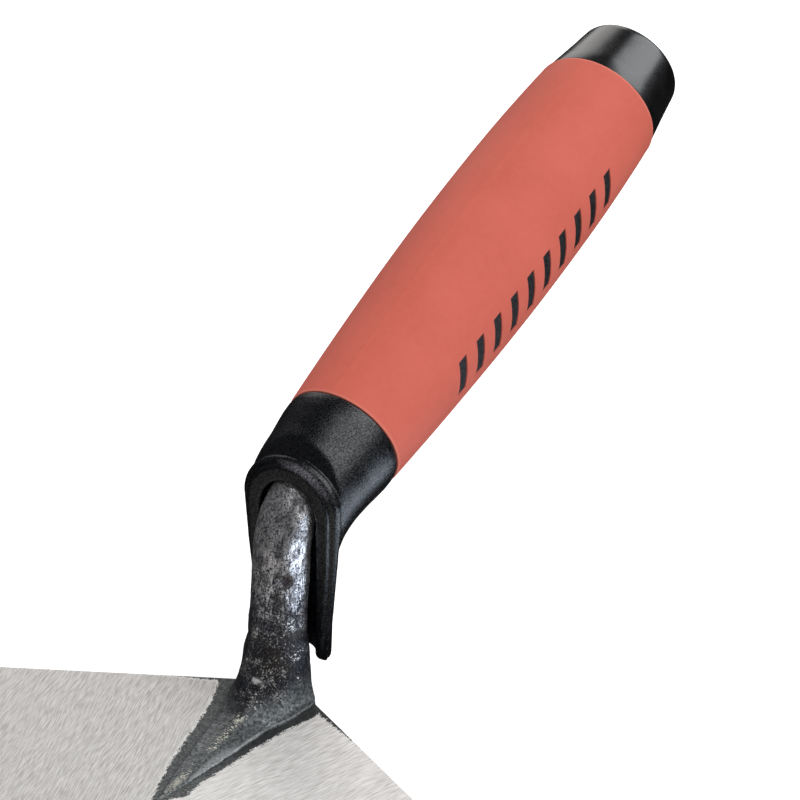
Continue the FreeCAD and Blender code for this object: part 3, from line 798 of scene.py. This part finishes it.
def scale_colours(n, x, y, z):
    """Forge scale: dark and mottled, polished higher up in bands that are painted highlights, worn to
    bright metal in fine flecks.

    Returns its colour, roughness, how metallic it is and its height.
    """
    at = n.join(x, y, z)
    broad = n.noise(at, 0.09, 3, 0.55)
    patches = n.noise(at, 0.33, 4, 0.6)
    streaks = n.stretched(n.times(x, 2.6), n.times(y, 2.6), n.times(z, 0.45))
    grain = n.noise(at, 2.3, 3, 0.66)
    # the shank is polished higher up, and the polish is laid in bands round it as painted highlights, with
    # a painted dark band between them and painted shade on the far side
    wobble = n.times_plus(n.minus(patches, 0.5), 4.0, y)
    between = n.ramp(n.absolute(n.plus(wobble, 3.2)), 0.3, 1.3, 0.25, 1.0)
    painted_far_shade = n.ramp(wobble, 1.6, 3.4, 1.0, 0.45)
    burnish_and_sheen_bands = n.times(n.ramp(z, 19.0, 31.0), n.ramp(patches, 0.38, 0.53, 0.15, 1.0))
    burnish_and_sheen_bands = n.times(burnish_and_sheen_bands, n.maths("MINIMUM", between, painted_far_shade))
    dark = n.colour(n.ramp(broad, 0.4, 0.62), (0.010, 0.012, 0.020), (0.024, 0.020, 0.017))
    dark = n.colour(n.ramp(patches, 0.5, 0.72), dark, (0.05, 0.052, 0.066))
    dark = n.colour(n.ramp(grain, 0.50, 0.62, 0.0, 0.7), dark, (0.105, 0.105, 0.12))
    speckle = n.plus(n.times(streaks, 0.4), n.times(grain, 0.6))
    # painted highlight: the sheen is made lighter higher up the shank
    speckle = n.plus(speckle, n.ramp(z, 26.0, 40.0, 0.0, 0.07))
    sheen = n.colour(n.ramp(speckle, 0.47, 0.60), (0.035, 0.04, 0.06), (0.86, 0.85, 0.87))
    dark = n.colour(burnish_and_sheen_bands, dark, sheen)
    worn = n.ramp(n.plus(grain, n.times(patches, 0.6)), 0.915, 0.955)
    colour = n.colour(worn, dark, (0.74, 0.71, 0.67))
    rough = n.mix(worn, n.mix(burnish_and_sheen_bands, 0.40, n.ramp(streaks, 0.38, 0.62, 0.34, 0.2)), 0.22)
    metal = n.mix(worn, n.mix(burnish_and_sheen_bands, 0.45, 0.92), 0.65)
    return colour, rough, metal, n.plus(n.times(grain, 0.8), patches)


GRIND_ANGLE = math.radians(16.6)  # between the grinding marks and the blade's middle line
HALF_OFFSET = 31.0  # keeps the marks of the two halves from mirroring each other
# the scale's border on each side: x from the heel, and how far it is from the middle line
BORDER_START, BORDER_LOW, BORDER_SPAN = -60.0, -5.0, 30.0
LEFT_BORDER = [(-60, -3), (-53.7, -0.3), (-46, 2.4), (-36.7, 5.3), (-25.3, 8.2), (-17.4, 10.5),
               (-8, 14.6), (0, 20)]
RIGHT_BORDER = [(-60, 4), (-53.5, 4.2), (-50.3, 6.3), (-45.5, 6.3), (-34, 7.9), (-22, 9.4),
                (-13.3, 11.5), (-8.3, 13), (0, 14.5)]


def border_limit(n, share, stations):
    """A border's distance from the middle line, by the share of the way from its start."""
    curve = n.node("FloatCurve", {"Value": share})
    spots = [((x - BORDER_START) / -BORDER_START, (y - BORDER_LOW) / BORDER_SPAN)
             for x, y in stations]
    line = curve.mapping.curves[0]
    line.points[0].location = spots[0]
    line.points[1].location = spots[-1]
    for spot in spots[1:-1]:
        line.points.new(*spot)
    curve.mapping.update()
    return n.plus(n.times(curve.outputs[0], BORDER_SPAN), BORDER_LOW)


def grinding(n, x, y, z, off):
    """Coordinates along and across the grinding marks, which lean outward on each half."""
    cos, sin = math.cos(GRIND_ANGLE), math.sin(GRIND_ANGLE)
    along = n.plus(n.times(x, cos), n.times(off, sin))
    across = n.minus(n.times(off, cos), n.times(x, sin))
    wander = n.times(n.noise(n.join(x, y, z), 0.05, 2), 3.0)
    return along, n.plus(across, wander)


def scale_border(n, x, y, z, off, along, across):
    """How far inside the ragged border of the scale a point is, in mm."""
    share = n.ramp(x, BORDER_START, 0.0)
    left = border_limit(n, share, LEFT_BORDER)
    right = border_limit(n, share, RIGHT_BORDER)
    inside = n.maths("MINIMUM", n.minus(left, y), n.plus(right, y))
    inside = n.maths("MINIMUM", inside, n.plus(x, 58.0))
    # a narrow rim of scale also follows the heel's edge
    heel = n.times_plus(x, -math.sin(HEEL_HALF_ANGLE), n.times(off, -math.cos(HEEL_HALF_ANGLE)))
    inside = n.maths("MAXIMUM", inside, n.minus(n.ramp(off, 10.0, 32.0, 1.9, -0.5), heel))
    ragged = n.stretched(n.times(along, 1.9), n.times(across, 2.8), z, 4, 0.75)
    teeth = n.stretched(n.times(along, 0.5), n.times(across, 1.1), z, 2)
    ragged = n.plus(n.times(n.minus(ragged, 0.5), 3.2), n.times(n.minus(teeth, 0.5), 2.2))
    return n.plus(inside, ragged)


def steel_material():
    """Ground steel, with dark forge scale left round the bolster."""
    n = Nodes("ground_steel")
    x, y, z = n.place()
    x = n.minus(x, HEEL_X)
    side, off = n.maths("SIGN", y), n.absolute(y)
    along, across = grinding(n, x, y, z, off)
    other = n.plus(n.times(side, HALF_OFFSET), z)
    fine = n.stretched(n.times(along, 0.24), n.times(across, 4.2), other)
    coarse = n.stretched(n.times(along, 0.2), n.times(across, 1.9), other)
    cloud = n.stretched(n.times(along, 0.03), n.times(across, 0.08), other, 2, 0.5)
    tone = n.plus(n.times(fine, 0.7), n.times(coarse, 0.3))
    grind = n.ramp(tone, 0.40, 0.58)
    # stands in for how differently the top's two grinds reflect, so the underside is even
    outward = n.times(n.ramp(side, -1.0, 1.0, 1.0, 0.0), n.ramp(off, 0.0, 34.0, 0.6, 1.0))
    outward = n.mix(n.ramp(z, 0.15, 0.3), 0.4, outward)
    bright = n.colour(grind, (0.44, 0.42, 0.40), (0.83, 0.81, 0.79))
    bright = n.colour(n.ramp(cloud, 0.35, 0.75, 0.0, 0.3), bright, (0.60, 0.585, 0.57))
    brighter = n.colour(grind, (0.63, 0.61, 0.585), (0.99, 0.97, 0.95))
    bright = n.colour(outward, bright, brighter)
    # painted highlight: the scale's border is painted pale on the left, where its edge catches the light
    border = scale_border(n, x, y, z, off, along, across)
    scaled = n.times(n.ramp(border, -0.06, 0.06), n.ramp(z, 0.15, 0.5))
    border_highlight = n.ramp(n.absolute(n.plus(border, 0.3)), 0.1, 0.35, 0.8, 0.0)
    bright = n.colour(n.times(border_highlight, n.ramp(y, 0.0, 2.0)), bright, (0.97, 0.96, 0.94))
    grey = n.noise(n.join(x, y, z), 1.6, 4, 0.65)
    crust = n.colour(n.ramp(grey, 0.38, 0.66), (0.045, 0.05, 0.05), (0.17, 0.18, 0.18))
    # painted shadow: the crust on the -Y side of the bolster is painted darker, where shade falls below
    # its ledge
    painted_shadow = n.times(n.ramp(y, -4.0, -1.0, 1.0, 0.0), n.ramp(x, -42.0, -26.0))
    crust = n.colour(n.times(painted_shadow, 0.75), crust, (0.012, 0.013, 0.014))
    height = n.mix(scaled, n.times(tone, 0.5), n.times(grey, 3.0))
    n.set(Base_Color=n.colour(scaled, bright, crust),
          Metallic=n.mix(scaled, n.mix(outward, 0.45, 0.24), 0.4),
          Roughness=n.mix(scaled, n.ramp(tone, 0.35, 0.65, 0.46, 0.6), 0.6),
          Normal=n.bump(height, 0.00007, 0.6))
    return n.material


def shank_material():
    """Forge scale on the shank and the wedge, with a worn crest, a dent painted dark as shade, a bright
    spot and a painted highlight along the right facet's foot.
    """
    n = Nodes("forge_scale")
    x, y, z = n.place()
    x = n.minus(x, HEEL_X)
    at = n.join(x, y, z)
    colour, rough, metal, height = scale_colours(n, x, y, z)
    # the wedge is smoother and greyer, with a worn line along its crest
    off_line = n.minus(y, n.times(n.minus(x, BOLSTER_START), BOLSTER_DRIFT))
    right = n.maths("MAXIMUM", n.times(off_line, -0.55), 0.0)
    low = n.ramp(n.minus(z, right), 2.8, 6.5, 1.0, 0.0)
    fine = n.noise(at, 1.5, 4, 0.72)
    grey = n.colour(n.ramp(fine, 0.42, 0.62), (0.028, 0.033, 0.036), (0.19, 0.21, 0.215))
    colour = n.colour(n.times(low, 0.85), colour, grey)
    off_crest = n.absolute(n.plus(off_line, n.times(fine, 0.5)))
    flecks = n.noise(n.join(x, n.times(y, 0.6), z), 2.2, 3, 0.7)
    bunches = n.noise(n.join(x, 3.0, 5.0), 0.16, 1, 0.5)
    by_length = n.ramp(x, -50.0, -42.0, 0.35, 1.0)
    crest = n.times(n.ramp(off_crest, 0.2, 1.3, by_length, 0.0),
                    n.ramp(n.plus(flecks, n.times(bunches, 0.6)), 0.86, 0.90))
    crest = n.times(crest, n.ramp(z, 5.0, 8.0, 1.0, 0.0))
    colour = n.colour(crest, colour, (0.80, 0.77, 0.66))
    dent = n.distance(at, DENT)
    # painted shade: the dent is painted dark in its hollow, as well as bumped in
    colour = n.colour(n.ramp(dent, 0.7, 1.3, 0.75, 0.0), colour, (0.035, 0.022, 0.030))
    height = n.minus(height, n.ramp(dent, 0.6, 2.0, 5.0, 0.0, smooth=True))
    bright_spot = n.distance(n.join(x, n.times(y, 0.6), n.times(z, 1.2)), BRIGHT_SPOT)
    bright_spot = n.times_plus(fine, 2.4, bright_spot)
    colour = n.colour(n.ramp(bright_spot, 1.5, 2.3, 0.9, 0.0), colour, (0.80, 0.79, 0.80))
    # painted highlight: a paler line is painted along the foot of the right facet, where its ledge catches
    # the light
    foot = n.minus(z, n.ramp(x, -50.0, 10.0, 2.7, 3.2))
    foot = n.absolute(n.plus(foot, n.times(fine, 0.5)))
    ledge_highlight = n.times(n.ramp(foot, 0.08, 0.34, 0.8, 0.0), n.ramp(off_line, -2.5, -1.5, 1.0, 0.0))
    ledge_highlight = n.times(ledge_highlight, n.ramp(fine, 0.4, 0.55, 0.4, 1.0))
    n.set(Base_Color=n.colour(ledge_highlight, colour, (0.38, 0.40, 0.41)), Roughness=rough,
          Metallic=n.times(metal, n.ramp(low, 0.0, 1.0, 1.0, 0.6)),
          Normal=n.bump(height, 0.00013, 0.9))
    return n.material


def plastic_material(name, grain, rough):
    """Hard black plastic with a sanded grain, as high as stated in metres."""
    n = Nodes(name)
    x, y, z = n.place()
    at = n.join(x, y, z)
    sand = n.noise(at, 2.6, 3, 0.75)
    soft = n.noise(at, 0.15, 2, 0.5)
    colour = n.colour(n.ramp(sand, 0.35, 0.75), (0.0015, 0.0018, 0.0025), (0.006, 0.0068, 0.009))
    # a paler patch stands in for the highlight on the bead over the shank
    rise = n.times(n.minus(z, BEAD_TOP), BEAD_FLAT)
    line = n.maths("SQRT", n.times_plus(rise, rise, n.times(y, y)))
    line = n.absolute(n.minus(line, BEAD[1][-1] + 0.1))
    patch = n.times(n.ramp(line, 0.3, 1.1, 1.0, 0.0),
                    n.ramp(x, HEEL_X + 0.9, HEEL_X + 2.0, 1.0, 0.0))
    patch = n.times(patch, n.ramp(n.times_plus(y, -0.45, z), 57.0, 60.5))
    patch = n.times(patch, n.ramp(sand, 0.42, 0.58, 0.15, 1.0))
    n.set(Base_Color=n.colour(patch, colour, (0.24, 0.24, 0.27)),
          Roughness=n.plus(n.ramp(sand, 0.35, 0.65, rough - 0.06, rough + 0.14),
                           n.ramp(soft, 0.3, 0.7, -0.02, 0.03)),
          Specular_IOR_Level=n.times(n.ramp(sand, 0.4, 0.62, 0.22, 1.0),
                                     n.ramp(z, 24.0, 50.0, 0.35, 1.0)),
          Normal=n.bump(sand, grain, 0.7))
    return n.material


def rubber_material():
    """Matt red rubber, faintly mottled, with painted highlights at both ends."""
    n = Nodes("red_rubber")
    x, y, z = n.place()
    at = n.join(x, y, z)
    cloud = n.noise(at, 0.06, 3, 0.5)
    mottle = n.noise(at, 0.6, 3, 0.6)
    fine = n.noise(at, 4.5, 2, 0.6)
    colour = n.colour(n.ramp(cloud, 0.35, 0.65), (0.615, 0.125, 0.088), (0.655, 0.140, 0.100))
    colour = n.colour(n.ramp(mottle, 0.35, 0.7, 0.0, 0.35), colour, (0.68, 0.16, 0.118))
    # painted highlight: both ends of the grip are painted a little paler, where their edges catch the
    # light
    run = n.plus(n.times(n.minus(x, HEEL_X + FRONT_X), float(ALONG[0])),
                 n.times(n.minus(z, FRONT_Z), float(ALONG[2])))
    from_end = n.maths("MINIMUM", run, n.minus(GRIP_LENGTH, run))
    colour = n.colour(n.ramp(from_end, 0.15, 0.7, 0.6, 0.0), colour, (0.85, 0.26, 0.19))
    n.set(Base_Color=colour, Specular_IOR_Level=0.15,
          Roughness=n.plus(n.ramp(mottle, 0.3, 0.7, 0.62, 0.70),
                           n.ramp(fine, 0.3, 0.7, -0.02, 0.04)),
          Normal=n.bump(n.plus(fine, n.times(mottle, 1.4)), 0.00003, 0.5))
    return n.material


def gloss_material():
    """Glossy black plastic."""
    n = Nodes("gloss_black")
    x, y, z = n.place()
    at = n.join(x, y, z)
    soft = n.noise(at, 0.25, 3, 0.5)
    fine = n.noise(at, 2.0, 3, 0.6)
    colour = n.colour(n.ramp(soft, 0.35, 0.7), (0.0008, 0.0008, 0.001), (0.0022, 0.0022, 0.0026))
    n.set(Base_Color=colour, Specular_IOR_Level=0.95,
          Roughness=n.plus(n.ramp(soft, 0.3, 0.7, 0.22, 0.29),
                           n.ramp(fine, 0.3, 0.7, -0.02, 0.03)),
          Normal=n.bump(fine, 0.00001, 0.35))
    return n.material


def dress(piece, material, node):
    """Gives a piece its looks, its body and the CAD node whose place it takes."""
    piece.data.materials.clear()
    piece.data.materials.append(material)
    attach(piece, "root")
    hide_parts(node)


guard_plastic = plastic_material("moulded_black", 0.00009, 0.21)
bar_plastic = plastic_material("bar_black", 0.00008, 0.6)
dress(make_blade(), steel_material(), "blade_forging")
dress(make_forging(), shank_material(), "blade_forging")
dress(make_guard(), guard_plastic, "handle_core")
dress(make_bars(), bar_plastic, "handle_core")
dress(make_grip(), rubber_material(), "soft_grip")
dress(make_cap(), gloss_material(), "butt_cap")


# ---------- floor, light and camera
FLOOR_HALF, FLOOR_DROP = 4.0, 0.0002  # metres, as all that follows
FILL = 0.66  # how bright the world is to matt surfaces
# the sky that gloss surfaces show: height on the colour ramp, and colour
SKY = [(0.0, (0.02, 0.02, 0.02, 1)), (0.25, (0.10, 0.10, 0.11, 1)), (0.75, (0.04, 0.04, 0.045, 1))]
TARGET = (0.12, 0.0, 0.06)
CAMERA_PLACE = (-0.46257, -0.36396, 0.40953)
CAMERA_AZIMUTH, CAMERA_ELEVATION = -57.4302, 27.7109
CAMERA_LENS, CAMERA_SENSOR = 148.5, 36.0  # mm


def make_floor():
    """A plain pale floor. It shows in no gloss and lights nothing."""
    mesh = bpy.data.meshes.new("floor")
    half = FLOOR_HALF
    corners = [(-half, -half, 0), (half, -half, 0), (half, half, 0), (-half, half, 0)]
    mesh.from_pydata(corners, [], [(0, 1, 2, 3)])
    floor = bpy.data.objects.new("floor", mesh)
    floor.location.z = -FLOOR_DROP
    bpy.context.scene.collection.objects.link(floor)
    n = Nodes("pale_floor")
    n.set(Base_Color=(0.9, 0.9, 0.9, 1), Roughness=0.9, Specular_IOR_Level=0.0,
          Emission_Color=WHITE, Emission_Strength=0.6)
    mesh.materials.append(n.material)
    floor.visible_glossy = False
    floor.visible_diffuse = False  # matt sides get the even fill from below too


def away_from_target(azimuth, elevation):
    """The direction towards a light or the camera, by its angles in degrees."""
    a, e = math.radians(azimuth), math.radians(elevation)
    return Vector((math.sin(a) * math.cos(e), -math.cos(a) * math.cos(e), math.sin(e)))


def make_light(name, target, azimuth, elevation, distance, width, height, radiance, colour):
    """A soft panel that faces a target."""
    away = away_from_target(azimuth, elevation)
    data = bpy.data.lights.new(name, "AREA")
    data.shape = "RECTANGLE"
    data.size, data.size_y = width, height
    data.energy = radiance * math.pi * width * height
    data.color = colour
    light = bpy.data.objects.new(name, data)
    light.location = Vector(target) + away * distance
    light.rotation_euler = (-away).to_track_quat("-Z", "Y").to_euler()
    bpy.context.scene.collection.objects.link(light)
    return light


def make_lights():
    """The front and back panels light all surfaces. The others show in gloss only."""
    key = make_light("key_panel", TARGET, azimuth=62, elevation=38, distance=1.2,
                     width=0.87, height=0.80, radiance=2.7, colour=(0.95, 0.98, 1.0))
    make_light("front_panel", TARGET, azimuth=8, elevation=46, distance=1.2,
               width=0.80, height=1.3, radiance=2.2, colour=(0.97, 0.99, 1.0))
    make_light("back_panel", TARGET, azimuth=129, elevation=25, distance=1.3,
               width=0.74, height=0.8, radiance=1.6, colour=(1.0, 0.985, 0.965))
    top = make_light("top_panel", TARGET, azimuth=-40, elevation=76, distance=1.2,
                     width=0.4, height=0.4, radiance=2.4, colour=(0.95, 0.97, 1.0))
    # a small card just over the floor, facing up
    card = make_light("low_card", (0.09, -0.22, 0.0015), azimuth=0, elevation=-90, distance=0.001,
                      width=0.14, height=0.34, radiance=3.0, colour=(0.76, 0.86, 1.0))
    card.visible_camera = False
    for light in (key, top, card):
        light.visible_diffuse = False


def make_world():
    """White to the camera, an even fill for matt surfaces, and a dim sky for gloss to show."""
    world = bpy.data.worlds.new("studio")
    world.use_nodes = True
    bpy.context.scene.world = world
    tree = world.node_tree
    background = tree.nodes["Background"]
    coordinates = tree.nodes.new("ShaderNodeTexCoord")
    split = tree.nodes.new("ShaderNodeSeparateXYZ")
    sky = tree.nodes.new("ShaderNodeValToRGB")
    path = tree.nodes.new("ShaderNodeLightPath")
    lit, seen = (tree.nodes.new("ShaderNodeMix") for _ in range(2))
    lit.data_type = seen.data_type = "RGBA"
    lit.inputs[COLOUR_A].default_value = (FILL, FILL, FILL, 1)
    seen.inputs[COLOUR_B].default_value = WHITE
    for start, end in ((coordinates.outputs["Generated"], split.inputs[0]),
                       (split.outputs[2], sky.inputs[0]),
                       (path.outputs["Is Glossy Ray"], lit.inputs["Factor"]),
                       (sky.outputs[0], lit.inputs[COLOUR_B]),
                       (path.outputs["Is Camera Ray"], seen.inputs["Factor"]),
                       (lit.outputs[COLOUR_OUT], seen.inputs[COLOUR_A]),
                       (seen.outputs[COLOUR_OUT], background.inputs[0])):
        tree.links.new(start, end)
    stops = sky.color_ramp.elements
    stops[0].position, stops[1].position = SKY[0][0], SKY[1][0]
    stops.new(SKY[2][0])
    for stop, (_, colour) in zip(stops, SKY):
        stop.color = colour
    background.inputs[1].default_value = 1.0


def make_camera():
    """A long lens, above the blade's point and to its -Y side."""
    data = bpy.data.cameras.new("camera")
    data.lens, data.sensor_width = CAMERA_LENS, CAMERA_SENSOR
    camera = bpy.data.objects.new("camera", data)
    bpy.context.scene.collection.objects.link(camera)
    away = away_from_target(CAMERA_AZIMUTH, CAMERA_ELEVATION)
    turned = (-away).to_track_quat("-Z", "Y").to_matrix().to_4x4()
    camera.matrix_world = Matrix.Translation(CAMERA_PLACE) @ turned
    bpy.context.scene.camera = camera


make_floor()
make_world()
make_lights()
make_camera()
bpy.context.scene.view_settings.view_transform = "Standard"
